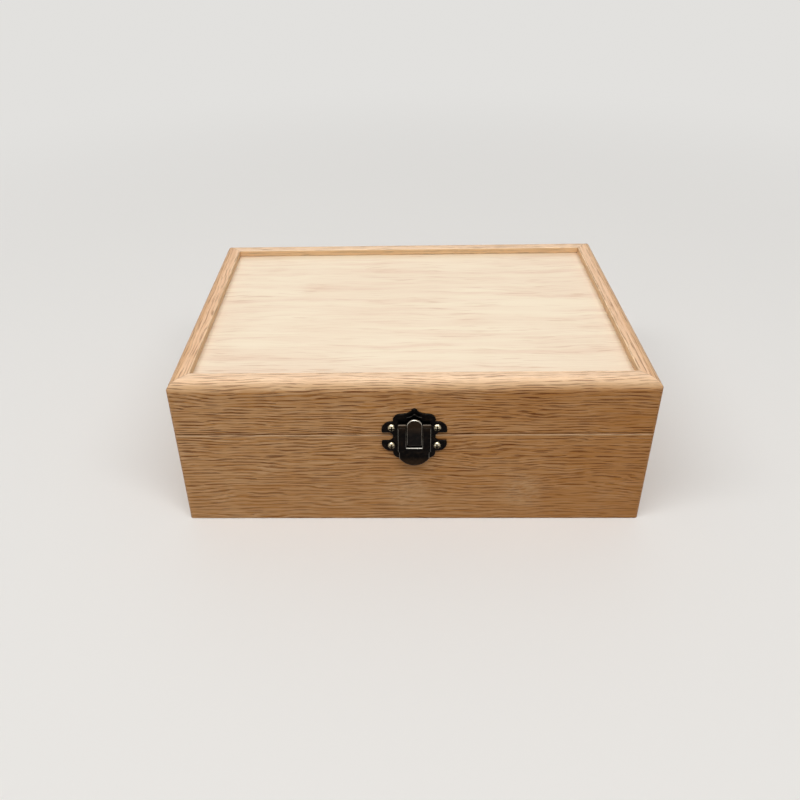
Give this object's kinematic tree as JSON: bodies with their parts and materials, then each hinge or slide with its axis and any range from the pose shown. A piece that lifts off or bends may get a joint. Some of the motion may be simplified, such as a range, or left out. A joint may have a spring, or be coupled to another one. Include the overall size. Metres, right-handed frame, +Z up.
{
  "type": "hinged wooden keepsake box",
  "caption": "Oak box with mitred walls, a rounded lid frame round a recessed pale panel, surface hinges at the back and a scalloped snap clasp at the front",
  "frame": {"origin": "the middle of the underside, under the middle of the walls", "axes": "+X to the right along the front, +Y from the front to the back hinges, +Z up"},
  "size_m": [0.24, 0.1679, 0.0885],
  "materials": {
    "oak": "open-pored red oak, bare or thinly waxed, matt",
    "pale_panel": "pale smooth plywood, sanded, matt",
    "antique_bronze": "pressed sheet blackened to antique bronze, bright where edges are worn",
    "screw_metal": "pale nickel-washed brass, half bright"
  },
  "bodies": {
    "base": {"base_front_board": "oak", "base_back_board": "oak", "base_left_board": "oak", "base_right_board": "oak", "bottom_panel": "pale_panel", "clasp_base_plate": "antique_bronze", "clasp_base_screws": "screw_metal", "hinge_left_base_leaf": "antique_bronze", "hinge_left_pin": "antique_bronze", "hinge_right_base_leaf": "antique_bronze", "hinge_right_pin": "antique_bronze", "hinge_base_screws": "screw_metal"},
    "lid": {"lid_front_rail": "oak", "lid_back_rail": "oak", "lid_left_rail": "oak", "lid_right_rail": "oak", "lid_panel": "pale_panel", "clasp_lid_plate": "antique_bronze", "clasp_pin": "antique_bronze", "clasp_lid_screws": "screw_metal", "hinge_left_lid_leaf": "antique_bronze", "hinge_right_lid_leaf": "antique_bronze", "hinge_lid_screws": "screw_metal"},
    "flap": {"clasp_flap": "antique_bronze"}
  },
  "joints": [
    {"name": "lid_hinge", "type": "hinge", "parent": "base", "child": "lid", "pos_m": [0, 0.0819, 0.0575], "axis": [-1, 0, 0], "range_deg": [0, 187]},
    {"name": "clasp_flap_hinge", "type": "hinge", "parent": "lid", "child": "flap", "pos_m": [0.001, -0.0822, 0.0645], "axis": [-1, 0, 0], "range_deg": [0, 180]}
  ]
}
